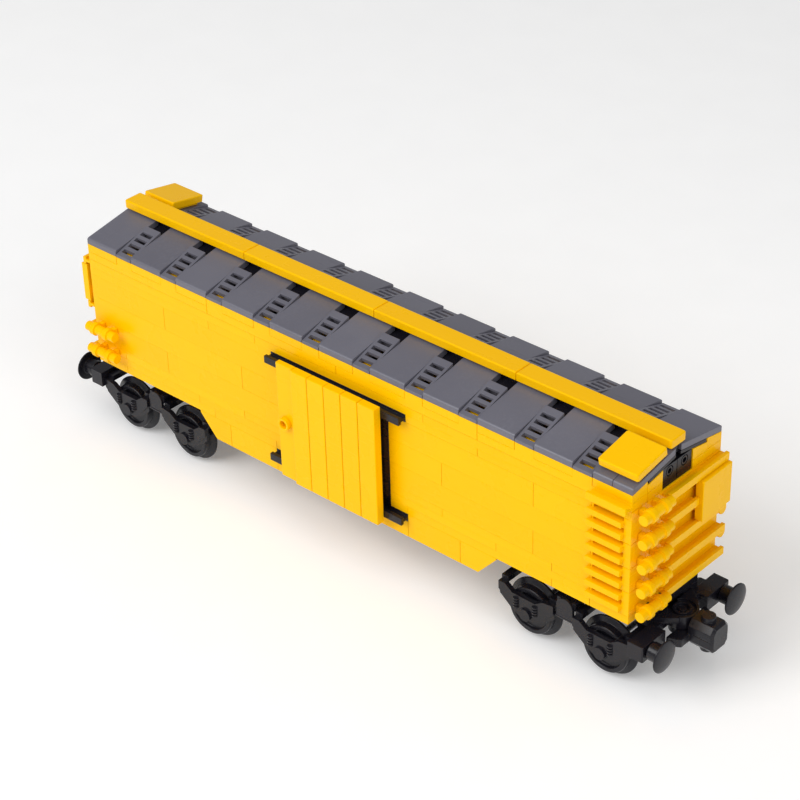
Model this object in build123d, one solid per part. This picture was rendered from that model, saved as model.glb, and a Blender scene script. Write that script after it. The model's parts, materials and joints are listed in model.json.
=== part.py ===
from build123d import *
import os
from math import atan, degrees

# A brick-built model box car. +X runs along the car, -Y is the near side, +Z is up.
# The origin is the middle of the car at the height of the surface its wheel flanges stand on.
# The far side and the rear end repeat the near side and the front end, turned 180 degrees about Z.

# ---- driving dimensions, millimetres ----
PITCH = 8.0                      # stud pitch
PLATE = 3.2                      # height of one plate
BRICK = 3 * PLATE                # height of one brick
STUD_R = 2.4
STUD_H = 1.7
SHELL = 1.5                      # side wall of a hollow brick
SHELL_TOP = 1.2                  # top wall of a hollow brick
BAR_R = 1.9                      # radius of a handle bar
BAR_COLLAR_R = 2.55

HALF_LENGTH = 16 * PITCH
HALF_WIDTH = 3 * PITCH
INNER_Y = HALF_WIDTH - PITCH     # inner face of the side walls
DECK_Z = 29.75                   # underside of the floor above the flange bottoms
EAVE_Z = DECK_Z + 5 * BRICK + PLATE

DOOR_HALF = 3 * PITCH            # half width of a door
DOORWAY_HALF = 2 * PITCH
TRACK_HALF = 4 * PITCH           # half length of a door track
LOWER_TRACK_Z = DECK_Z - PLATE
UPPER_TRACK_Z = DECK_Z + 4 * BRICK
RAIL_REACH = 3.5                 # how far a rail lip stands out from its plate
RAIL_LIP = 1.4
RAIL_WEB = 1.0

SILL_TOP_HALF = 9 * PITCH
SILL_BOTTOM_HALF = 8 * PITCH
SILL_SLOPE_START = 7 * PITCH

BAY = 3 * PITCH                  # one roof slab and one grille
SLAB_WIDTH = 2 * PITCH
SLAB_COUNT = 11
SLAB_THICK = 2.5
SLAB_RISE = 0.182                # rise of the roof for each millimetre towards the ridge
SLAB_TOP_Y = 1.6                 # distance of a slab's upper edge from the centre line
CARRIER_THICK = 1.3
GRILLE_LIP = 1.2
GRILLE_TOP = 2 * PLATE
BOARD_Z = EAVE_Z + 7.3           # underside of the running board
RIDGE_HALF = 1.3

BOGIE_X = 100.0                  # bogie pivot from the middle of the car
AXLE_X = 16.0                    # axle from the bogie pivot
TREAD_R = 9.05
FLANGE_R = 11.2
AXLE_Z = FLANGE_R
AXLE_R = 1.5
RUNNING_GAP = 0.06
PIVOT_R = 2.4
FRAME_Y = 20.9                   # inner face of a wheel holder's side frame

BUFFER_Y = 20.0
BUFFER_Z = DECK_Z - 9.3
BUFFER_R = 5.9
BEAM_X = 28.1                    # inner face of the buffer beam from the bogie pivot
BEAM_FRONT_X = 34.4
COUPLER_X = 32.5                 # coupler pivot from the bogie pivot
COUPLER_BACK_X = 38.4
COUPLER_FRONT_X = 48.2
COUPLER_Z = DECK_Z - 9.4         # middle of the coupler head
HEAD_HALF = 5.2                  # half height of the coupler head
HUB_TOP_Z = DECK_Z - 4.6
MAGNET_R = 3.2
MAGNET_THICK = 4.0
MAGNET_COVER = 0.8

TINY = 0.01


# ---- small helpers ----
def block(x0, x1, y0, y1, z0, z1):
    """Box between two corners."""
    centre = Pos((x0 + x1) / 2, (y0 + y1) / 2, (z0 + z1) / 2)
    return centre * Box(x1 - x0, y1 - y0, z1 - z0)


def rod(axis, radius, start, end, a=0.0, b=0.0):
    """Cylinder along X, Y or Z from start to end; a and b are its other two coordinates in order."""
    middle = (start + end) / 2
    bar = Cylinder(radius, end - start)
    if axis == "X":
        return Pos(middle, a, b) * Rot(0, 90, 0) * bar
    if axis == "Y":
        return Pos(a, middle, b) * Rot(90, 0, 0) * bar
    return Pos(a, b, middle) * bar


def profile_x(points, x0, x1):
    """Prism along X from x0 to x1 with its outline in the YZ plane."""
    face = make_face(Polyline([(x0, y, z) for y, z in points], close=True))
    return extrude(face, amount=x1 - x0, dir=(1, 0, 0))


def profile_y(points, y0, y1):
    """Prism along Y from y0 to y1 with its outline in the XZ plane."""
    face = make_face(Polyline([(x, y0, z) for x, z in points], close=True))
    return extrude(face, amount=y1 - y0, dir=(0, 1, 0))


def turned(shapes):
    """The same pieces on the opposite side of the car."""
    return [Rot(0, 0, 180) * shape for shape in shapes]


def brick(x0, x1, y0, y1, z0, z1, studs=True):
    """Hollow brick or plate with studs on top."""
    body = block(x0, x1, y0, y1, z0, z1)
    body -= block(x0 + SHELL, x1 - SHELL, y0 + SHELL, y1 - SHELL, z0 - 1, z1 - SHELL_TOP)
    if studs:
        for i in range(round((x1 - x0) / PITCH)):
            for j in range(round((y1 - y0) / PITCH)):
                cx = x0 + (i + 0.5) * PITCH
                cy = y0 + (j + 0.5) * PITCH
                body += rod("Z", STUD_R, z1 - TINY, z1 + STUD_H, cx, cy)
    return body


def row(breaks, z0, z1, studs=True):
    """One course of near-side wall bricks between neighbouring break points."""
    return [brick(a, b, -HALF_WIDTH, -INNER_Y, z0, z1, studs) for a, b in zip(breaks, breaks[1:])]


def rail(length, z0):
    """Door rail standing out along -Y from a plate whose face is at y = 0, along +X from x = 0."""
    web_z = z0 + (PLATE - RAIL_WEB) / 2
    lip = block(0, length, -RAIL_REACH, RAIL_LIP - RAIL_REACH, z0 + 0.15, z0 + PLATE - 0.15)
    web = block(0, length, RAIL_LIP - RAIL_REACH - TINY, 0, web_z, web_z + RAIL_WEB)
    return lip + web


def handle(z):
    """Handle bar along +X over two studs, standing out along -Y from a face at y = 0."""
    reach = 4.1
    bar = rod("X", BAR_R, 0.4, 2 * PITCH - 0.4, -reach, z)
    for x in (PITCH - 3.4, PITCH + 3.4):
        bar += rod("X", BAR_COLLAR_R, x - 1.1, x + 1.1, -reach, z)
        bar += block(x - 1.1, x + 1.1, -reach, 0, z - 1.3, z + 1.3)
    return bar


def slab_z(y):
    """Height of the underside of the roof slabs at a distance y from the centre line."""
    return EAVE_Z + SLAB_RISE * (HALF_WIDTH - y)


# ---- floor, sills and walls ----
def floor_deck():
    """One long plate with a stub to each doorway, and its studs."""
    deck = block(-HALF_LENGTH, HALF_LENGTH, -INNER_Y, INNER_Y, DECK_Z, DECK_Z + PLATE)
    deck += block(-DOOR_HALF, DOOR_HALF, -HALF_WIDTH, HALF_WIDTH, DECK_Z, DECK_Z + PLATE)
    for i in range(-14, 14):
        for y in (-1.5, -0.5, 0.5, 1.5):
            stud_x = (i + 0.5) * PITCH
            deck += rod("Z", STUD_R, DECK_Z + PLATE - TINY, DECK_Z + PLATE + STUD_H, stud_x, y * PITCH)
    return [deck]


def pivot_pins():
    """Headed pins that hold the bogies."""
    pins = []
    for x in (-BOGIE_X, BOGIE_X):
        pin = rod("Z", 6.0, DECK_Z - 0.5, DECK_Z, x, 0)
        pin += rod("Z", PIVOT_R, DECK_Z - 4.8, DECK_Z - 0.5 + TINY, x, 0)
        pin += rod("Z", 3.8, DECK_Z - 5.4, DECK_Z - 4.0, x, 0)
        pins.append(pin)
    return pins


def sill():
    """Near side sill: shallow bricks under the door track, full bricks beside it, slanted ends."""
    bottom = DECK_Z - BRICK
    pieces = [brick(-TRACK_HALF, 0, -HALF_WIDTH, -INNER_Y, bottom, LOWER_TRACK_Z)]
    pieces.append(brick(0, TRACK_HALF, -HALF_WIDTH, -INNER_Y, bottom, LOWER_TRACK_Z))
    for side in (-1, 1):
        x0, x1 = sorted((side * TRACK_HALF, side * SILL_SLOPE_START))
        pieces.append(brick(x0, x1, -HALF_WIDTH, -INNER_Y, bottom, DECK_Z))
        outline = [
            (side * SILL_SLOPE_START, bottom),
            (side * SILL_BOTTOM_HALF, bottom),
            (side * SILL_TOP_HALF, DECK_Z - 0.8),
            (side * SILL_TOP_HALF, DECK_Z),
            (side * SILL_SLOPE_START, DECK_Z),
        ]
        pieces.append(profile_y(outline, -HALF_WIDTH, -INNER_Y))
    return pieces


def wall_lower():
    """Three plate layers and the first brick course, on each side of the doorway."""
    pieces = []
    layers = [
        (0, PLATE, [24, 32, 96, 112], [-112, -64, -32, -24]),
        (PLATE, 2 * PLATE, [24, 72, 112], [-128, -72, -24]),
        (2 * PLATE, BRICK, [24, 48, 96, 112], [-112, -48, -24]),
        (BRICK, 2 * BRICK, [24, 88, 112], [-128, -88, -24]),
    ]
    for z0, z1, right, left in layers:
        for breaks in (right, left):
            pieces += row(breaks, DECK_Z + z0, DECK_Z + z1)
    for z0 in (0, 2 * PLATE):
        pieces += row([-128, -112], DECK_Z + z0, DECK_Z + z0 + PLATE)
    pieces += row([112, 128], DECK_Z, DECK_Z + PLATE, studs=False)
    return pieces


def wall_upper():
    """Two brick courses beside the doorway, and the plate layers up to the eave."""
    pieces = []
    layers = [
        (2 * BRICK, 3 * BRICK, [24, 48, 112], [-128, -48, -24]),
        (3 * BRICK, 4 * BRICK, [24, 88, 112], [-128, -88, -24]),
        (4 * BRICK, 4 * BRICK + PLATE, [32, 64, 112], [-128, -64, -32]),
    ]
    for z0, z1, right, left in layers:
        for breaks in (right, left):
            pieces += row(breaks, DECK_Z + z0, DECK_Z + z1)
    lintel_z = DECK_Z + 4 * BRICK + PLATE
    pieces += row([-128, -40, 40, 128], lintel_z, lintel_z + PLATE)
    return pieces


def eave():
    """Top course: long plates with an upstand under each grille, and a short plate under each slab."""
    z0 = DECK_Z + 4 * BRICK + 2 * PLATE
    z1 = z0 + PLATE
    breaks = [-128, -64, 0, 64, 128]
    pieces = []
    grille_starts = [-HALF_LENGTH + SLAB_WIDTH + BAY * i for i in range(SLAB_COUNT - 1)]
    for a, b in zip(breaks, breaks[1:]):
        piece = brick(a, b, -HALF_WIDTH, -INNER_Y, z0, z1, studs=False)
        for x in grille_starts:
            if a <= x < b:
                piece += block(x, x + PITCH, -HALF_WIDTH, -INNER_Y, z1 - TINY, EAVE_Z)
        pieces.append(piece)
    for i in range(SLAB_COUNT):
        x = -HALF_LENGTH + BAY * i
        outline = [(-HALF_WIDTH, z1), (-INNER_Y, z1), (-INNER_Y, slab_z(INNER_Y)),
                   (-HALF_WIDTH, slab_z(HALF_WIDTH))]
        pieces.append(profile_x(outline, x, x + SLAB_WIDTH))
    return pieces


# ---- corner fittings on the side walls ----
RUNG_HALF = 1.15                 # half height of a ladder rung


def ladder():
    """Four blocks with rungs at the front end of the near side, and a rail ledge above them."""
    x0 = HALF_LENGTH - 2 * PITCH
    slot_x1 = HALF_LENGTH - 3.0
    pieces = []
    rung_pitch = BRICK / 2
    for i in range(4):
        z0 = DECK_Z + PLATE + i * BRICK
        body = block(x0, HALF_LENGTH, -HALF_WIDTH, -INNER_Y, z0, z0 + BRICK)
        for k in range(2):
            z = z0 + (k + 0.5) * rung_pitch
            slot_z = z + RUNG_HALF
            body -= block(x0 + 0.8, slot_x1, -HALF_WIDTH - 1, -HALF_WIDTH + 2.2, slot_z, slot_z + 1.8)
            rung = block(x0 - 0.4, slot_x1, -HALF_WIDTH - 1.6, -HALF_WIDTH, z - RUNG_HALF, z + RUNG_HALF)
            rung += rod("Y", RUNG_HALF, -HALF_WIDTH - 1.6, -HALF_WIDTH, x0 - 0.4, z)
            body += rung
        pieces.append(body)
    pieces.append(Pos(x0, -HALF_WIDTH, 0) * rail(2 * PITCH, DECK_Z + 4 * BRICK + 2 * PLATE))
    return pieces


def side_grabs():
    """Two handle bars at the rear end of the near side."""
    heights = (DECK_Z + 2.5 * PLATE, DECK_Z + 5.5 * PLATE)
    return [Pos(-HALF_LENGTH, -HALF_WIDTH, 0) * handle(z) for z in heights]


# ---- end wall, front end ----
END_ROWS = [DECK_Z + PLATE + BRICK * k for k in range(5)]


def on_front(shape):
    """Places a piece built against y = 0, running along +X, on the front end, running along +Y."""
    return Pos(HALF_LENGTH, 0, 0) * Rot(0, 0, 90) * shape


def end_wall():
    """Courses between the side walls, and the two gable blocks above them."""
    x0 = HALF_LENGTH - PITCH
    pieces = []
    for k in range(4):
        z0 = DECK_Z + PLATE + k * BRICK
        pieces.append(brick(x0, HALF_LENGTH, -INNER_Y, INNER_Y, z0, z0 + BRICK))
    top = DECK_Z + PLATE + 4 * BRICK
    pieces.append(brick(x0, HALF_LENGTH, -INNER_Y, INNER_Y, top, top + PLATE, studs=False))
    seam = top + 2 * PLATE
    for side in (-1, 1):
        y0, y1 = sorted((side * PITCH, side * INNER_Y))
        pieces.append(block(x0, HALF_LENGTH, y0, y1, top + PLATE, seam))
        outline = [(side * INNER_Y, seam), (side * PITCH, seam),
                   (side * PITCH, slab_z(PITCH) - CARRIER_THICK - 0.2),
                   (side * INNER_Y, slab_z(INNER_Y) - CARRIER_THICK - 0.2)]
        pieces.append(profile_x(outline, x0, HALF_LENGTH))
    return pieces


def end_rails():
    """Ledges across the front end; the fourth is shorter, beside the panel."""
    pieces = []
    for k, z0 in enumerate(END_ROWS):
        length = 2 * PITCH if k == 3 else 4 * PITCH
        pieces.append(on_front(Pos(-PITCH, 0, 0) * rail(length, z0)))
    return pieces


def end_handles():
    """Handle bars one above the other, used as an end ladder."""
    middle = PLATE / 2
    return [on_front(Pos(-HALF_WIDTH, 0, 0) * handle(z0 + middle)) for z0 in END_ROWS]


def end_panel():
    """Smooth tile on a small bracket beside the rails."""
    z0 = DECK_Z + 8 * PLATE
    z1 = z0 + 5 * PLATE
    bracket_x = HALF_LENGTH + 1.8
    front_x = HALF_LENGTH + 4.9
    tile = block(bracket_x, front_x, PITCH + 0.1, HALF_WIDTH, z0 + 0.1, z1 - 0.1)
    tile = fillet(tile.faces().sort_by(Axis.X)[-1].edges(), 0.35)
    bracket = block(HALF_LENGTH, bracket_x, PITCH + 2.0, HALF_WIDTH - 2.0, z0 + 2.0, z0 + 6.2)
    return [tile, bracket]


def end_vents():
    """Two black blocks between the gable blocks, each with a round hole inside a ring."""
    x0 = HALF_LENGTH - PITCH
    front = HALF_LENGTH - 0.4
    z0 = DECK_Z + PLATE + 4 * BRICK + PLATE
    top = slab_z(PITCH) - CARRIER_THICK - 0.2
    hole_z = DECK_Z + 50.3
    pieces = []
    for y in (-PITCH / 2, PITCH / 2):
        vent = block(x0, front, y - 3.9, y + 3.9, z0, top)
        ring = rod("X", 2.0, front - 0.4, front + 1, y, hole_z)
        ring -= rod("X", 1.6, front - 1, front + 1, y, hole_z)
        vent -= ring
        vent -= rod("X", 1.0, front - 4, front + 1, y, hole_z)
        pieces.append(vent)
    return pieces


# ---- doorway and doors ----
def door_rails():
    """Lower and upper track of the near door."""
    pieces = []
    for z0 in (LOWER_TRACK_Z, UPPER_TRACK_Z):
        plate = brick(-TRACK_HALF, TRACK_HALF, -HALF_WIDTH, -INNER_Y, z0, z0 + PLATE, studs=False)
        pieces.append(plate + Pos(-TRACK_HALF, -HALF_WIDTH, 0) * rail(2 * TRACK_HALF, z0))
    return pieces


def door_jambs():
    """Columns of black bricks on both sides of each doorway, flush with the walls."""
    near = []
    levels = [PLATE, BRICK, 2 * BRICK, 3 * BRICK, 4 * BRICK]
    for x in (-DOOR_HALF, DOORWAY_HALF):
        for z0, z1 in zip(levels, levels[1:]):
            near += row([x, x + PITCH], DECK_Z + z0, DECK_Z + z1)
    return near + turned(near)


STRIP_Y = -HALF_WIDTH - RAIL_REACH - 0.2
STRIP_THICK = PLATE
LEADING_STRIP_THICK = 2.2        # the strip with the pull stands further back
DOOR_BOTTOM_Z = LOWER_TRACK_Z - PLATE / 2
DOOR_TOP_Z = DOOR_BOTTOM_Z + 5 * BRICK
SHOE_HALF = PITCH
BACKING_HALF = 20.0
SLIDE_GAP = 0.2


def door_strips():
    """Six upright tiles."""
    pieces = []
    for i in range(6):
        x0 = -DOOR_HALF + PITCH * i + 0.1
        front = STRIP_Y - (STRIP_THICK if i else LEADING_STRIP_THICK)
        strip = block(x0, x0 + PITCH - 0.2, front, STRIP_Y, DOOR_BOTTOM_Z, DOOR_TOP_Z)
        strip = fillet(strip.faces().sort_by(Axis.Y)[0].edges(), 0.35)
        pieces.append(strip)
    return pieces


def door_shoe():
    """Runner with a tongue in the groove of each rail, and the plate that carries the strips."""
    groove = (PLATE + RAIL_WEB) / 2
    z0 = LOWER_TRACK_Z + groove + SLIDE_GAP
    z1 = UPPER_TRACK_Z + PLATE - groove - SLIDE_GAP
    back = -HALF_WIDTH - 0.4
    front = -HALF_WIDTH - RAIL_REACH + RAIL_LIP + SLIDE_GAP
    runner = block(-SHOE_HALF, SHOE_HALF, front, back, z0, z1)
    backing = block(-BACKING_HALF, BACKING_HALF, STRIP_Y, front + TINY,
                    DECK_Z + 0.3, UPPER_TRACK_Z - 0.3)
    return [runner + backing]


def door_ring():
    """Hollow stud on the leading strip, used as a pull."""
    x = -DOOR_HALF + PITCH / 2
    z = (DECK_Z + UPPER_TRACK_Z) / 2
    face = STRIP_Y - LEADING_STRIP_THICK
    ring = rod("Y", 2.5, face - 1.9, face, x, z) - rod("Y", 1.6, face - 3, face + 1, x, z)
    return [ring]


# ---- roof ----
def carrier_outline(low, high):
    """Section of the sheet below the slabs, between two distances from the centre line."""
    return [(-low, slab_z(low) - CARRIER_THICK), (-high, slab_z(high) - CARRIER_THICK),
            (-high, slab_z(high)), (-low, slab_z(low))]


def roof_frame():
    """Cross beams, ridge beam and the tilted carriers below the slabs."""
    pieces = []
    for x in (-88, -44, 0, 44, 88):
        pieces.append(block(x - 4, x + 4, -INNER_Y, INNER_Y, EAVE_Z - PLATE, EAVE_Z))
    ridge = block(-HALF_LENGTH + 1, HALF_LENGTH - 1, -RIDGE_HALF, RIDGE_HALF, EAVE_Z + 3.8, BOARD_Z)
    for x in (-88, -44, 0, 44, 88):
        ridge += block(x - 4, x + 4, -RIDGE_HALF, RIDGE_HALF, EAVE_Z, EAVE_Z + 3.9)
    pieces.append(ridge)
    low, middle, high = INNER_Y - 0.6, PITCH - 0.3, RIDGE_HALF
    strip = profile_x(carrier_outline(middle, high), -HALF_LENGTH + 0.1, HALF_LENGTH - 0.1)
    for i in range(SLAB_COUNT):
        x = -HALF_LENGTH + BAY * i
        strip += profile_x(carrier_outline(low, middle - 0.1), x + 0.1, x + SLAB_WIDTH - 0.1)
    return pieces + [strip] + turned([strip])


def roof_slabs():
    """Wide flat slabs; the one under the hatch is two narrow ones."""
    outline = [
        (-HALF_WIDTH, slab_z(HALF_WIDTH)),
        (-SLAB_TOP_Y, slab_z(SLAB_TOP_Y)),
        (-SLAB_TOP_Y, slab_z(SLAB_TOP_Y) + SLAB_THICK),
        (-HALF_WIDTH + 0.5, slab_z(HALF_WIDTH - 0.5) + SLAB_THICK),
        (-HALF_WIDTH, slab_z(HALF_WIDTH) + SLAB_THICK - 0.45),
    ]
    pieces = []
    for i in range(SLAB_COUNT):
        x = -HALF_LENGTH + BAY * i
        if i == SLAB_COUNT - 1:
            pieces.append(profile_x(outline, x + 0.1, x + PITCH - 0.05))
            pieces.append(profile_x(outline, x + PITCH + 0.05, x + SLAB_WIDTH))
        else:
            pieces.append(profile_x(outline, x + 0.1, x + SLAB_WIDTH - 0.1))
    return pieces


def roof_grilles():
    """Hollow wedges with four slots, one between each two slabs."""
    low, high = HALF_WIDTH, PITCH
    top = EAVE_Z + GRILLE_TOP
    outer = [(-low, EAVE_Z), (-high, EAVE_Z), (-high, top), (-low, EAVE_Z + GRILLE_LIP)]
    slope = (GRILLE_TOP - GRILLE_LIP) / (low - high)
    skin = 0.9
    wall = 1.2
    inner_low = low - 1.6
    inner = [(-inner_low, EAVE_Z - 1), (-high - SHELL, EAVE_Z - 1),
             (-high - SHELL, top - skin - slope * SHELL), (-inner_low, EAVE_Z + 0.2)]
    pieces = []
    for i in range(SLAB_COUNT - 1):
        x = -HALF_LENGTH + SLAB_WIDTH + BAY * i
        wedge = profile_x(outer, x + 0.1, x + PITCH - 0.1)
        wedge -= profile_x(inner, x + wall, x + PITCH - wall)
        for k in range(4):
            y = -low + 2.75 + PLATE * k
            wedge -= block(x + wall, x + PITCH - wall, y - 0.9, y + 0.9, EAVE_Z + 0.1, top + 1)
        pieces.append(wedge)
    return pieces


def running_board():
    """Four long tiles on the ridge."""
    pieces = []
    for i in range(4):
        x = -HALF_LENGTH + 8 * PITCH * i
        tile = block(x + 0.05, x + 8 * PITCH - 0.05, -PITCH / 2, PITCH / 2, BOARD_Z, BOARD_Z + PLATE)
        corners = tile.edges().filter_by(Axis.Z).sort_by(Axis.X)
        if i == 0:
            tile = fillet(corners[:2], 0.8)
        if i == 3:
            tile = fillet(corners[-2:], 0.8)
        pieces.append(fillet(tile.faces().sort_by(Axis.Z)[-1].edges(), 0.5))
    return pieces


def roof_hatch():
    """Square tile on a thin foot, lying on the slab at the front of the near side."""
    tilt = degrees(atan(SLAB_RISE))
    y_low = 21.6
    size = 2 * PITCH - 0.1
    foot = 1.3
    tile = block(0, size, 0, size, foot, foot + 2.8)
    tile = fillet(tile.edges().filter_by(Axis.Z), 0.8)
    tile = fillet(tile.faces().sort_by(Axis.Z)[-1].edges(), 0.5)
    tile += block(1.5, size - 1.5, 1.5, size - 1.5, 0, foot + TINY)
    corner = Pos(HALF_LENGTH - size + 0.4, -y_low, slab_z(y_low) + SLAB_THICK + 0.05)
    return [corner * Rot(tilt, 0, 0) * tile]


# ---- bogie, built about its pivot with +x towards the end of the car ----
PLATE_Z0 = DECK_Z - 3.8
PLATE_Z1 = DECK_Z - 0.6
DECKLET_Z0 = DECK_Z - 9.6
DECKLET_Z1 = DECK_Z - 6.4


def bogie_plate():
    """Base plate with the pivot hole, a tab between the side frames and the necks to the beam."""
    plate = block(-24, 28.4, -14, 14, PLATE_Z0, PLATE_Z1)
    plate += block(-22, 22, -16, 16, PLATE_Z0, PLATE_Z1)
    plate -= rod("Z", PIVOT_R + RUNNING_GAP, PLATE_Z0 - 1, PLATE_Z1 + 1)
    for side in (-1, 1):
        y0, y1 = sorted((side * 6.0, side * 14.0))
        plate += block(25.4, 28.4, y0, y1, DECKLET_Z1, PLATE_Z0 + TINY)
        y0, y1 = sorted((side * 14.0, side * 16.0))
        plate += block(-3.0, 3.0, y0, y1, DECK_Z - 8.6, PLATE_Z0 + TINY)
        y0, y1 = sorted((side * 15.9, side * 20.8))
        plate += block(-3.9, 3.9, y0, y1, DECK_Z - 8.6, DECK_Z - 5.6)
        y0, y1 = sorted((side * 20.7, side * 21.9))
        plate += block(-3.5, 3.5, y0, y1, DECK_Z - 12.4, DECK_Z - 8.2)
        plate += rod("Y", 3.5, y0, y1, 0, DECK_Z - 8.2)
        plate += rod("X", 0.7, -3.9, 3.9, side * 21.3, DECK_Z - 12.9)
    return [plate]


SPRING_X = 4.1
FRAME_BACK = [(-11.9, 8.9), (-9.1, 8.9), (-5.8, 6.5), (4.0, 6.4), (7.3, 8.6), (11.9, 9.2),
              (11.9, 3.1), (6.9, -0.8), (3.2, -2.8), (-3.2, -2.8), (-6.9, -0.8), (-11.9, 3.3)]
FRAME_FACE = [(-11.9, 8.9), (-9.1, 8.9), (-5.8, 6.5), (4.0, 6.4), (7.3, 8.6), (11.9, 9.2),
              (11.9, 5.4), (7.3, 1.2), (3.5, 0.4), (-3.5, 0.4), (-7.3, 1.2), (-11.9, 5.6)]


def wheel_holder(x):
    """Cross plate, four arms and two side frames of one axle."""
    arm_z0 = DECK_Z - 10.2
    arm_z1 = DECK_Z - 8.0
    plate_z0 = DECK_Z - 7.0
    holder = block(x - 8.9, x + 8.9, -12, 12, plate_z0, PLATE_Z0)
    for end in (-1, 1):
        x0, x1 = sorted((x + end * 9.0, x + end * 11.9))
        holder += block(x0, x1, -FRAME_Y - TINY, FRAME_Y + TINY, arm_z0, arm_z1)
        x0, x1 = sorted((x + end * 7.0, x + end * 11.0))
        holder += block(x0, x1, -12, 12, arm_z0, plate_z0 + TINY)
    for side in (-1, 1):
        for outline, near_y, far_y in ((FRAME_BACK, 0, 1.1), (FRAME_FACE, 1.1 - TINY, 1.9)):
            y0, y1 = sorted((side * (FRAME_Y + near_y), side * (FRAME_Y + far_y)))
            holder += profile_y([(x + a, AXLE_Z + b) for a, b in outline], y0, y1)
        y0, y1 = sorted((side * FRAME_Y, side * (FRAME_Y + 2.7)))
        holder += rod("Y", 2.4, y0, y1, x, AXLE_Z)
        spring_y = side * (FRAME_Y + 1.7)
        for spring_x in (x - SPRING_X, x + SPRING_X):
            holder += rod("Z", 0.7, AXLE_Z + 0.9, AXLE_Z + 5.5, spring_x, spring_y)
            for coil in range(4):
                z = AXLE_Z + 1.7 + 1.1 * coil
                holder += rod("Z", 1.15, z - 0.3, z + 0.3, spring_x, spring_y)
        y0, y1 = sorted((side * (FRAME_Y - 1), side * (FRAME_Y + 1.4)))
        holder -= rod("Y", AXLE_R + RUNNING_GAP, y0, y1, x, AXLE_Z)
    return holder


def wheel_holders():
    """The holders of both axles."""
    return [wheel_holder(-AXLE_X), wheel_holder(AXLE_X)]


def wheels(x):
    """Two flanged wheels of one axle."""
    section = [(AXLE_R, 14.6), (3.4, 14.6), (3.4, 15.6), (FLANGE_R - 0.5, 15.6), (FLANGE_R, 16.1),
               (FLANGE_R, 16.9), (TREAD_R + 0.2, 17.7), (TREAD_R, 20.1), (TREAD_R - 0.3, 20.4),
               (7.4, 20.4), (6.9, 19.2), (3.3, 19.2), (2.9, 20.6), (AXLE_R, 20.6)]
    face = make_face(Polyline([(r, y, 0) for r, y in section], close=True))
    wheel = revolve(face, axis=Axis.Y)
    pair = [wheel, Rot(0, 0, 180) * wheel]
    return [Pos(x, 0, AXLE_Z) * w for w in pair]


def axle(x):
    """Steel axle through both wheels."""
    return [rod("Y", AXLE_R, -22.1, 22.1, x, AXLE_Z)]


def buffer(y):
    """Thick stem on a short neck, with a thin domed head."""
    section = [(0, BEAM_FRONT_X), (2.6, BEAM_FRONT_X), (2.6, 34.8), (3.3, 35.1), (3.3, 39.5),
               (BUFFER_R, 39.7), (BUFFER_R, 40.3), (4.8, 40.6), (3.4, 40.85), (1.8, 41.0), (0, 41.05)]
    face = make_face(Polyline([(x, r, 0) for r, x in section], close=True))
    return Pos(0, y, BUFFER_Z) * revolve(face, axis=Axis.X)


def buffer_beam():
    """Beam with two buffers and the hub of the coupler's pivot."""
    beam = block(BEAM_X, 31.0, -14, 14, DECKLET_Z0, DECKLET_Z1)
    for side in (-1, 1):
        y0, y1 = sorted((side * 11.7, side * 24.2))
        end = block(BEAM_X, BEAM_FRONT_X, y0, y1, DECK_Z - 12.6, DECKLET_Z1)
        outer = end.edges().filter_by(Axis.Z).filter_by(lambda e: abs(e.center().Y) > 24)
        beam += chamfer(outer.sort_by(Axis.X)[-1:], 0.4)
    outline = [(28.5, -10.6), (30.8, -9.2), (35.2, -5.6), (35.2, 5.6), (30.8, 9.2), (28.5, 10.6)]
    web = make_face(Polyline([(x, y, DECKLET_Z1 - 0.4) for x, y in outline], close=True))
    beam += extrude(web, amount=HUB_TOP_Z - DECKLET_Z1 + 0.4, dir=(0, 0, 1))
    hub = rod("Z", 5.7, DECKLET_Z0, HUB_TOP_Z, COUPLER_X, 0)
    beam += hub - block(20, 28.5, -8, 8, DECKLET_Z0 - 1, HUB_TOP_Z + 1)
    groove = rod("Z", 4.7, HUB_TOP_Z - 0.9, HUB_TOP_Z + 1, COUPLER_X, 0)
    beam -= groove - rod("Z", 3.4, HUB_TOP_Z - 2, HUB_TOP_Z + 2, COUPLER_X, 0)
    beam -= rod("Z", 2.4, HUB_TOP_Z - 1.0, HUB_TOP_Z + 1, COUPLER_X, 0)
    beam += rod("Z", 1.5, ARM_Z0 - 0.9, HUB_TOP_Z - 0.4, COUPLER_X, 0)
    beam += rod("Z", 2.6, ARM_Z0 - 0.9, ARM_Z0 - 0.2, COUPLER_X, 0)
    return [beam, buffer(-BUFFER_Y), buffer(BUFFER_Y)]


ARM_Z0 = DECK_Z - 13.0
ARM_Z1 = DECK_Z - 9.8


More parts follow.
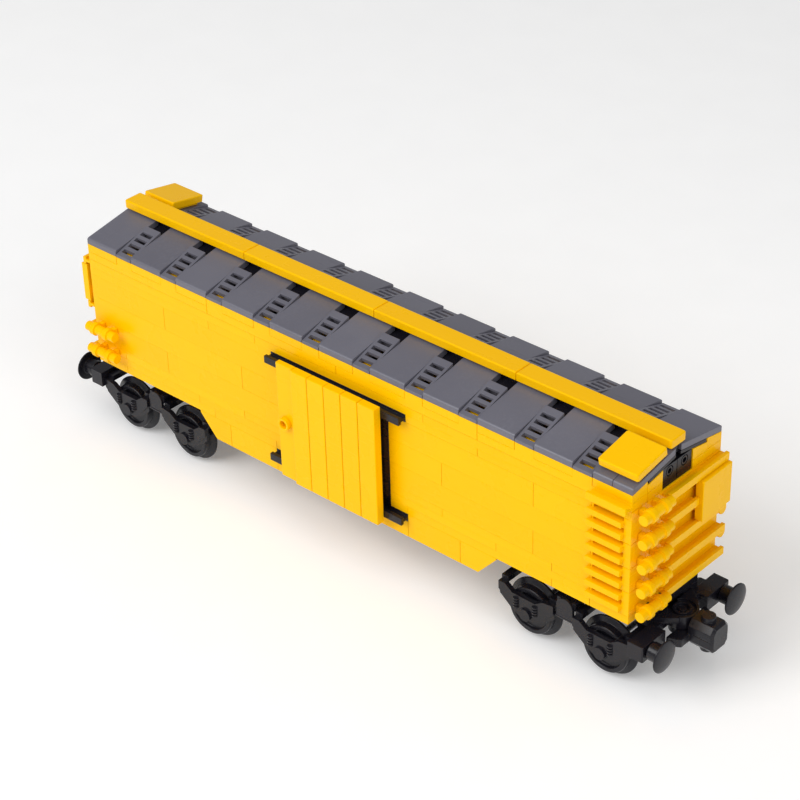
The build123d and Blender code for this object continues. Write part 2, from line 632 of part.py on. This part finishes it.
def coupler():
    """Fan-shaped swivel arm with the closed housing of the magnet."""
    arm = rod("Z", 10.9, ARM_Z0, ARM_Z1, COUPLER_X, 0)
    arm &= block(COUPLER_X + 1.5, COUPLER_BACK_X + 0.5, -11, 11, ARM_Z0, ARM_Z1)
    arm += rod("Z", 4.5, ARM_Z0, ARM_Z1, COUPLER_X, 0)
    arm -= rod("Z", 1.5 + RUNNING_GAP, ARM_Z0 - 1, ARM_Z1 + 1, COUPLER_X, 0)
    half_width = 4.8
    flat = 3.0
    flank = 2.9
    outline = [(-flat, -HEAD_HALF), (flat, -HEAD_HALF), (half_width, -flank), (half_width, flank),
               (flat, HEAD_HALF), (-flat, HEAD_HALF), (-half_width, flank), (-half_width, -flank)]
    head = profile_x([(y, COUPLER_Z + z) for y, z in outline], COUPLER_BACK_X, COUPLER_FRONT_X)
    head = chamfer(head.faces().sort_by(Axis.X)[-1].edges(), 0.9)
    seam = block(COUPLER_BACK_X + 2, 60, -10, 10, COUPLER_Z - 0.15, COUPLER_Z + 0.15)
    core = block(COUPLER_BACK_X, COUPLER_FRONT_X, -4.5, 4.5, COUPLER_Z - 1, COUPLER_Z + 1)
    head -= seam - core
    stud_x = COUPLER_BACK_X + 4.7
    top = COUPLER_Z + HEAD_HALF
    foot = COUPLER_Z - HEAD_HALF
    body = arm + head
    body += rod("Z", 2.45, top - TINY, top + STUD_H, stud_x, 0)
    body += rod("Z", 2.45, foot - STUD_H, foot + TINY, stud_x, 0)
    back = COUPLER_FRONT_X - MAGNET_COVER - MAGNET_THICK
    body -= rod("X", MAGNET_R, back, back + MAGNET_THICK, 0, COUPLER_Z)
    return [body]


def magnet():
    """Round magnet closed inside the coupler's housing."""
    back = COUPLER_FRONT_X - MAGNET_COVER - MAGNET_THICK
    return [rod("X", MAGNET_R, back, back + MAGNET_THICK, 0, COUPLER_Z)]


# ---- nodes ----
SIDE_NODES = {
    "sill": sill, "wall_lower": wall_lower, "wall_upper": wall_upper, "eave": eave,
    "ladder": ladder, "side_grabs": side_grabs, "door_rails": door_rails,
    "door_strips": door_strips, "door_shoe": door_shoe, "door_ring": door_ring,
    "roof_slabs": roof_slabs, "roof_grilles": roof_grilles, "roof_hatch": roof_hatch,
}
END_NODES = {
    "end_wall": end_wall, "end_rails": end_rails, "end_handles": end_handles,
    "end_panel": end_panel, "end_vents": end_vents,
}
WHOLE_NODES = {
    "floor_deck": floor_deck, "pivot_pins": pivot_pins, "door_jambs": door_jambs,
    "roof_frame": roof_frame, "running_board": running_board,
}
BOGIE_NODES = {
    "bogie_plate": bogie_plate, "wheel_holders": wheel_holders, "buffer_beam": buffer_beam,
    "coupler": coupler, "magnet": magnet,
    "wheels_inner": lambda: wheels(-AXLE_X), "axle_inner": lambda: axle(-AXLE_X),
    "wheels_outer": lambda: wheels(AXLE_X), "axle_outer": lambda: axle(AXLE_X),
}


def save(name, shapes):
    export_step(Compound(children=list(shapes)), os.path.join("parts", name + ".step"))


os.makedirs("parts", exist_ok=True)
for name, make in WHOLE_NODES.items():
    save(name, make())
for name, make in SIDE_NODES.items():
    shapes = make()
    save(name + "_near", shapes)
    save(name + "_far", turned(shapes))
for name, make in END_NODES.items():
    shapes = make()
    save(name + "_front", shapes)
    save(name + "_rear", turned(shapes))
for name, make in BOGIE_NODES.items():
    shapes = [Pos(BOGIE_X, 0, 0) * shape for shape in make()]
    save(name + "_front", shapes)
    save(name + "_rear", turned(shapes))
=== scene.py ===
import json
import math
import bpy
import bmesh
from mathutils import Matrix, Vector


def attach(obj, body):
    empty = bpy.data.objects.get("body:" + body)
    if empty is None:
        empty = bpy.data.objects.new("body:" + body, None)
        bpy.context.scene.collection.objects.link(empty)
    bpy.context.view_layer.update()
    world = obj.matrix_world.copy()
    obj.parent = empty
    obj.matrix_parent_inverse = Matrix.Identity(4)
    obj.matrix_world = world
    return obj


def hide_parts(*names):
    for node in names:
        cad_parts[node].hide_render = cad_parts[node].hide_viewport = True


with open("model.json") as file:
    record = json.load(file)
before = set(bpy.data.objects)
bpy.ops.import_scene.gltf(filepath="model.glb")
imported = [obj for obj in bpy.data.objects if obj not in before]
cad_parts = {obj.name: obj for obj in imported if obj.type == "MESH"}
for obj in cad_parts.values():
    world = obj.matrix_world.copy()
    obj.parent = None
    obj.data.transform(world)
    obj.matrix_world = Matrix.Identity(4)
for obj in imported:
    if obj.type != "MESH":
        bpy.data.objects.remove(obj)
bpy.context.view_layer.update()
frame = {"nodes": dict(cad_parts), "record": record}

MM = 0.001

# ---- mesh work ----
WELD = 0.001 * MM                 # points are matched to this step
MIDDLE_BAND = 1.0 * MM            # points this near to a solid's middle aren't drawn in
FLAT_ANGLE = math.radians(0.6)    # triangles nearer to one plane than this are merged
SHARP_ANGLE = math.radians(34)    # edges sharper than this are rounded
ROUNDING_STEPS = 2                # faces across a rounded edge
NORMAL_WEIGHT = 80                # how much large faces lead the shading of the edges beside them

# ---- edge radius of each kind of node, millimetres ----
EDGE_RADIUS = {
    "roof_slabs": 0.22, "running_board": 0.12, "roof_hatch": 0.12, "roof_grilles": 0.16,
    "wheels_inner": 0.18, "wheels_outer": 0.18, "axle_inner": 0.12, "axle_outer": 0.12,
    "magnet": 0.2, "buffer_beam": 0.2, "coupler": 0.22, "wheel_holders": 0.16,
    "end_handles": 0.2, "side_grabs": 0.2, "door_ring": 0.2, "ladder": 0.18,
}
DEFAULT_RADIUS = 0.12

# ---- gap left on each side of a brick along X, Y and Z, millimetres ----
SEAMS = {
    "wall_lower": (0.07, 0.05, 0.01), "wall_upper": (0.07, 0.05, 0.01), "eave": (0.08, 0.0, 0.08),
    "sill": (0.07, 0.0, 0.03), "ladder": (0.05, 0.0, 0.05), "end_wall": (0.0, 0.05, 0.05),
    "running_board": (0.06, 0.0, 0.0), "door_jambs": (0.04, 0.0, 0.05), "end_vents": (0.0, 0.05, 0.04),
}
NO_SEAM = (0.0, 0.0, 0.0)

# ---- scale of each noise in the materials, per metre ----
FLOW_SCALE = 60                   # flow marks of a moulding
BLOTCH_SCALE = 900                # fine breaks in the dust
DUST_SCALE = 45
SCRATCH_SCALE = 220
PEEL_SCALE = 1500                 # orange peel
SMUDGE_SCALE = 300                # smudges on metal
FLOOR_SCALE = 40

# ---- moulded plastic ----
PLASTIC_IOR = 1.53
BRICK_SHARE = 0.45                # share of the shade that differs from solid to solid
FLOW_SHARE = 0.55                 # share of the shade that follows the flow marks
SHADE_BAND = (0.2, 0.8)           # values of the mixed noise from the deep to the full colour
FLOW_BAND = (0.25, 0.75)
DUST_BAND = (0.26, 0.5)           # values over which the dust sets in
SCRATCH_BAND = (0.62, 0.72)       # values over which a scratch sets in
SCRATCH_STRETCH = (0.5, 1.0, 14.0)
SCRATCH_TILT = (0.3, 0.5, 0.2)    # radians
PEEL_HEIGHT, SCRATCH_DEPTH, FLOW_HEIGHT = 0.6, 0.5, 1.2
PLASTIC_BUMP = 0.05
PLASTIC_BUMP_DEPTH = 0.02 * MM

# ---- turned steel ----
DULL_SHARE = 0.8                  # brightness of a smudge against clean metal
SMUDGE_STOPS = (0.3, 0.7)
WORN_BAND = (0.6, 1.4)
TURNING_STRETCH = (0.1, 1.0, 0.1)
STEEL_BUMP = 0.15
STEEL_BUMP_DEPTH = 0.01 * MM

WHITE = (1.0, 1.0, 1.0, 1)

# ---- floor and surroundings ----
FLOOR_SIZE = 12
FLOOR_SHADES = (0.90, 0.92)
FLOOR_STOPS = (0.3, 0.7)
FLOOR_ROUGHNESS = 0.7
FLOOR_SPECULAR = 0.2
FLOOR_GLOW = 0.16
WORLD_STRENGTH = 0.36

# ---- area lights: name, place, width and depth, watts ----
CAR_MIDDLE = (0, 0, 0.05)
LIGHTS = [
    ("key", (-0.5, -1.3, 1.2), (1.2, 1.0), 18),
    ("fill", (1.4, -0.4, 0.9), (1.0, 1.0), 7),
    ("top", (0.1, -0.5, 1.6), (1.6, 1.0), 5),
]

# ---- camera, fitted to the brick grid that the photo shows ----
CAMERA_AT = Vector((0.48113, -0.51016, 0.50472))
YAW, PITCH, ROLL = math.radians(-42.867), math.radians(32.855), math.radians(-1.674)
FOCAL = 105.07
SENSOR_WIDTH = 36.0
NEAREST, FARTHEST = 0.01, 100.0


# ---- meshes ----
def node_kind(name):
    """The node's name without the side or end it is on."""
    head, _, tail = name.rpartition("_")
    return head if tail in ("near", "far", "front", "rear") else name


def split_islands(mesh):
    """The mesh's separate solids, each as (points, faces).

    The solids follow each other in the mesh; one is complete when none of its edges is open."""
    place = [tuple(round(c / WELD) for c in v.co) for v in mesh.vertices]
    found = []
    open_edges = set()
    points, order, faces = [], {}, []
    for face in mesh.polygons:
        corners = []
        for i in face.vertices:
            if place[i] not in order:
                order[place[i]] = len(points)
                points.append(mesh.vertices[i].co.copy())
            corners.append(order[place[i]])
        faces.append(corners)
        for a, b in zip(corners, corners[1:] + corners[:1]):
            if a != b:
                open_edges ^= {(min(a, b), max(a, b))}
        if not open_edges:
            found.append((points, faces))
            points, order, faces = [], {}, []
    if faces:
        found.append((points, faces))
    return found


def draw_in(points, seam):
    """Pulls a solid's points towards its middle, so that a fine gap shows around it."""
    for axis in range(3):
        values = [p[axis] for p in points]
        middle = (min(values) + max(values)) / 2
        for p in points:
            if abs(p[axis] - middle) > MIDDLE_BAND:
                p[axis] += math.copysign(seam[axis] * MM, middle - p[axis])


def round_edges(bm, radius):
    """Merges coplanar triangles and rounds every sharp edge."""
    bmesh.ops.dissolve_limit(bm, angle_limit=FLAT_ANGLE, verts=bm.verts, edges=bm.edges,
                             use_dissolve_boundaries=False)
    sharp = [e for e in bm.edges if len(e.link_faces) == 2 and e.calc_face_angle(0) > SHARP_ANGLE]
    if sharp:
        bmesh.ops.bevel(bm, geom=sharp, offset=radius, offset_type="OFFSET", segments=ROUNDING_STEPS,
                        profile=0.5, affect="EDGES", clamp_overlap=True)


def refine(node, radius, seam):
    """A copy of a CAD node with rounded edges, fine gaps and smooth shading."""
    source = frame["nodes"][node].data
    merged = bmesh.new()
    for points, faces in split_islands(source):
        draw_in(points, seam)
        bm = bmesh.new()
        verts = [bm.verts.new(p) for p in points]
        for corners in faces:
            if len(set(corners)) == len(corners):
                bm.faces.new([verts[i] for i in corners])
        bm.normal_update()
        round_edges(bm, radius)
        solid = bpy.data.meshes.new("solid")
        bm.to_mesh(solid)
        bm.free()
        merged.from_mesh(solid)
        bpy.data.meshes.remove(solid)
    mesh = bpy.data.meshes.new(node + "_finished")
    merged.to_mesh(mesh)
    merged.free()
    mesh.shade_smooth()
    piece = bpy.data.objects.new(node + "_finished", mesh)
    bpy.context.scene.collection.objects.link(piece)
    normals = piece.modifiers.new("weighted_normals", "WEIGHTED_NORMAL")
    normals.weight = NORMAL_WEIGHT
    normals.keep_sharp = True
    return piece


# ---- material nodes ----
def new_material(name):
    """A material with its node tree, its shader and the object's coordinates."""
    material = bpy.data.materials.new(name)
    material.use_nodes = True
    tree = material.node_tree
    coords = tree.nodes.new("ShaderNodeTexCoord").outputs["Object"]
    return material, tree, tree.nodes["Principled BSDF"], coords


def feed(tree, value, socket):
    """Links a node's output to the socket, or sets the socket to a plain value."""
    if isinstance(value, bpy.types.NodeSocket):
        tree.links.new(value, socket)
    else:
        socket.default_value = value


def noise(tree, coords, scale, detail, rough):
    texture = tree.nodes.new("ShaderNodeTexNoise")
    texture.inputs["Scale"].default_value = scale
    texture.inputs["Detail"].default_value = detail
    texture.inputs["Roughness"].default_value = rough
    feed(tree, coords, texture.inputs["Vector"])
    return texture.outputs["Fac"]


def ramp(tree, fac, stops):
    """Blends between two stops, each a position and its (red, green, blue)."""
    node = tree.nodes.new("ShaderNodeValToRGB")
    for element, (position, colour) in zip(node.color_ramp.elements, stops):
        element.position = position
        element.color = (*colour, 1)
    feed(tree, fac, node.inputs["Fac"])
    return node.outputs["Color"]


def map_range(tree, value, band, target):
    """Carries the values in the band over to the target range, and clamps the rest."""
    node = tree.nodes.new("ShaderNodeMapRange")
    node.inputs["From Min"].default_value, node.inputs["From Max"].default_value = band
    node.inputs["To Min"].default_value, node.inputs["To Max"].default_value = target
    feed(tree, value, node.inputs["Value"])
    return node.outputs["Result"]


def mix_colour(tree, fac, a, b):
    """Colour a where fac is 0 and colour b where it is 1."""
    node = tree.nodes.new("ShaderNodeMix")
    node.data_type = "RGBA"
    fac_socket, a_socket, b_socket = node.inputs[0], node.inputs[6], node.inputs[7]
    feed(tree, fac, fac_socket)
    feed(tree, a, a_socket)
    feed(tree, b, b_socket)
    return node.outputs[2]


def math_node(tree, operation, a, b):
    node = tree.nodes.new("ShaderNodeMath")
    node.operation = operation
    feed(tree, a, node.inputs[0])
    feed(tree, b, node.inputs[1])
    return node.outputs[0]


def stretched(tree, coords, scale, tilt=(0, 0, 0)):
    """Coordinates that are turned and scaled, for marks that run one way."""
    node = tree.nodes.new("ShaderNodeMapping")
    node.inputs["Scale"].default_value = scale
    node.inputs["Rotation"].default_value = tilt
    feed(tree, coords, node.inputs["Vector"])
    return node.outputs["Vector"]


def add_bump(tree, shader, height, strength, depth):
    node = tree.nodes.new("ShaderNodeBump")
    node.inputs["Strength"].default_value = strength
    node.inputs["Distance"].default_value = depth
    feed(tree, height, node.inputs["Height"])
    feed(tree, node.outputs["Normal"], shader.inputs["Normal"])


# ---- materials ----
def moulded_plastic(name, colour, deep, roughness, dust, dust_amount,
                    scratch_lift=0.06, specular=0.5, tint=WHITE):
    """Injection-moulded plastic: shade differs a little from brick to brick, with faint flow
    marks, fine handling scratches, orange-peel bump and light dust."""
    material, tree, shader, coords = new_material(name)
    island = tree.nodes.new("ShaderNodeNewGeometry").outputs["Random Per Island"]
    flow = noise(tree, coords, FLOW_SCALE, 4, 0.55)
    blotch = noise(tree, coords, BLOTCH_SCALE, 3, 0.6)
    per_brick = math_node(tree, "MULTIPLY", island, BRICK_SHARE)
    shade = math_node(tree, "ADD", per_brick, math_node(tree, "MULTIPLY", flow, FLOW_SHARE))
    base = mix_colour(tree, map_range(tree, shade, SHADE_BAND, (0, 1)), deep, colour)
    dusty = math_node(tree, "MULTIPLY", noise(tree, coords, DUST_SCALE, 6, 0.7), blotch)
    dust_mask = map_range(tree, dusty, DUST_BAND, (0, dust_amount))
    feed(tree, mix_colour(tree, dust_mask, base, dust), shader.inputs["Base Color"])
    lines = noise(tree, stretched(tree, coords, SCRATCH_STRETCH, SCRATCH_TILT), SCRATCH_SCALE, 2, 0.5)
    scratch = map_range(tree, lines, SCRATCH_BAND, (0, 1))
    rough = math_node(tree, "ADD",
                      map_range(tree, flow, FLOW_BAND, (roughness - 0.04, roughness + 0.06)),
                      math_node(tree, "MULTIPLY", scratch, scratch_lift))
    feed(tree, rough, shader.inputs["Roughness"])
    height = math_node(tree, "MULTIPLY", noise(tree, coords, PEEL_SCALE, 2, 0.5), PEEL_HEIGHT)
    height = math_node(tree, "SUBTRACT", height, math_node(tree, "MULTIPLY", scratch, SCRATCH_DEPTH))
    height = math_node(tree, "ADD", height, math_node(tree, "MULTIPLY", flow, FLOW_HEIGHT))
    add_bump(tree, shader, height, PLASTIC_BUMP, PLASTIC_BUMP_DEPTH)
    shader.inputs["IOR"].default_value = PLASTIC_IOR
    shader.inputs["Specular IOR Level"].default_value = specular
    shader.inputs["Specular Tint"].default_value = tint
    return material


def turned_steel(name, colour, roughness, ring_scale):
    """Bare metal with fine turning lines and smudges."""
    material, tree, shader, coords = new_material(name)
    lines = noise(tree, stretched(tree, coords, TURNING_STRETCH), ring_scale, 3, 0.6)
    smudge = noise(tree, coords, SMUDGE_SCALE, 4, 0.6)
    dull = tuple(c * DULL_SHARE for c in colour)
    shades = ramp(tree, smudge, zip(SMUDGE_STOPS, (dull, colour)))
    feed(tree, shades, shader.inputs["Base Color"])
    worn = math_node(tree, "ADD", lines, smudge)
    rough = map_range(tree, worn, WORN_BAND, (roughness - 0.08, roughness + 0.12))
    feed(tree, rough, shader.inputs["Roughness"])
    shader.inputs["Metallic"].default_value = 1.0
    add_bump(tree, shader, lines, STEEL_BUMP, STEEL_BUMP_DEPTH)
    return material


def pale_floor():
    """Near-white floor that glows a little, to come near the photo's white background."""
    material, tree, shader, coords = new_material("pale_floor")
    grain = noise(tree, coords, FLOOR_SCALE, 4, 0.6)
    shades = ramp(tree, grain, zip(FLOOR_STOPS, [(shade, shade, shade) for shade in FLOOR_SHADES]))
    feed(tree, shades, shader.inputs["Base Color"])
    shader.inputs["Roughness"].default_value = FLOOR_ROUGHNESS
    shader.inputs["Specular IOR Level"].default_value = FLOOR_SPECULAR
    shader.inputs["Emission Color"].default_value = WHITE
    shader.inputs["Emission Strength"].default_value = FLOOR_GLOW
    return material


MATERIALS = {
    "yellow_plastic": moulded_plastic(
        "yellow_moulded", colour=(1.0, 0.55, 0.0, 1), deep=(0.97, 0.515, 0.0, 1), roughness=0.27,
        dust=(1.0, 0.66, 0.02, 1), dust_amount=0.04, specular=0.2, tint=(1.0, 0.7, 0.12, 1)),
    "grey_plastic": moulded_plastic(
        "grey_moulded", colour=(0.138, 0.136, 0.168, 1), deep=(0.112, 0.110, 0.138, 1), roughness=0.36,
        dust=(0.30, 0.30, 0.34, 1), dust_amount=0.1, scratch_lift=0.1),
    "black_plastic": moulded_plastic(
        "black_moulded", colour=(0.011, 0.010, 0.015, 1), deep=(0.006, 0.006, 0.009, 1), roughness=0.24,
        dust=(0.07, 0.07, 0.09, 1), dust_amount=0.06, scratch_lift=0.1, specular=0.28),
    "axle_steel": turned_steel("axle_metal", (0.55, 0.55, 0.56), roughness=0.28, ring_scale=4000),
    "magnet_steel": turned_steel("magnet_plating", (0.62, 0.62, 0.64), roughness=0.2, ring_scale=1500),
}

# ---- the car: one finished piece for each CAD node ----
slots = {s["node"]: s["material_slot"] for s in frame["record"]["subparts"]}
node_body = {}
for body, nodes in frame["record"]["behaviour"]["bodies"].items():
    for node in nodes:
        node_body[node] = body
for node in sorted(frame["nodes"]):
    kind = node_kind(node)
    piece = refine(node, EDGE_RADIUS.get(kind, DEFAULT_RADIUS) * MM, SEAMS.get(kind, NO_SEAM))
    piece.data.materials.clear()
    piece.data.materials.append(MATERIALS[slots[node]])
    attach(piece, node_body[node])
    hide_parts(node)

# ---- floor and surroundings ----
bpy.ops.mesh.primitive_plane_add(size=FLOOR_SIZE, location=(0, 0, 0))
floor = bpy.context.object
floor.name = "floor"
floor.data.materials.append(pale_floor())

world = bpy.data.worlds.new("studio")
bpy.context.scene.world = world
world.use_nodes = True
background = world.node_tree.nodes["Background"]
background.inputs["Color"].default_value = WHITE
background.inputs["Strength"].default_value = WORLD_STRENGTH


# ---- lights and camera ----
def softbox(name, position, size, power):
    """Rectangular area light aimed at the middle of the car."""
    data = bpy.data.lights.new(name, "AREA")
    data.shape = "RECTANGLE"
    data.size, data.size_y = size
    data.energy = power
    lamp = bpy.data.objects.new(name, data)
    bpy.context.scene.collection.objects.link(lamp)
    lamp.location = position
    aim = Vector(CAR_MIDDLE) - Vector(position)
    lamp.rotation_euler = aim.to_track_quat("-Z", "Y").to_euler()


def camera_turn():
    """The camera's rotation, from its yaw, its pitch and its roll."""
    ahead = Vector((math.sin(YAW) * math.cos(PITCH), math.cos(YAW) * math.cos(PITCH), -math.sin(PITCH)))
    level_right = Vector((math.cos(YAW), -math.sin(YAW), 0))
    level_up = level_right.cross(ahead)
    right = math.cos(ROLL) * level_right + math.sin(ROLL) * level_up
    up = math.cos(ROLL) * level_up - math.sin(ROLL) * level_right
    return Matrix((right, up, -ahead)).transposed().to_4x4()


for name, position, size, power in LIGHTS:
    softbox(name, position, size, power)

camera_data = bpy.data.cameras.new("camera")
camera_data.sensor_width = SENSOR_WIDTH
camera_data.lens = FOCAL
camera_data.clip_start = NEAREST
camera_data.clip_end = FARTHEST
camera = bpy.data.objects.new("camera", camera_data)
bpy.context.scene.collection.objects.link(camera)
camera.matrix_world = Matrix.Translation(CAMERA_AT) @ camera_turn()
bpy.context.scene.camera = camera
bpy.context.scene.view_settings.view_transform = "Standard"
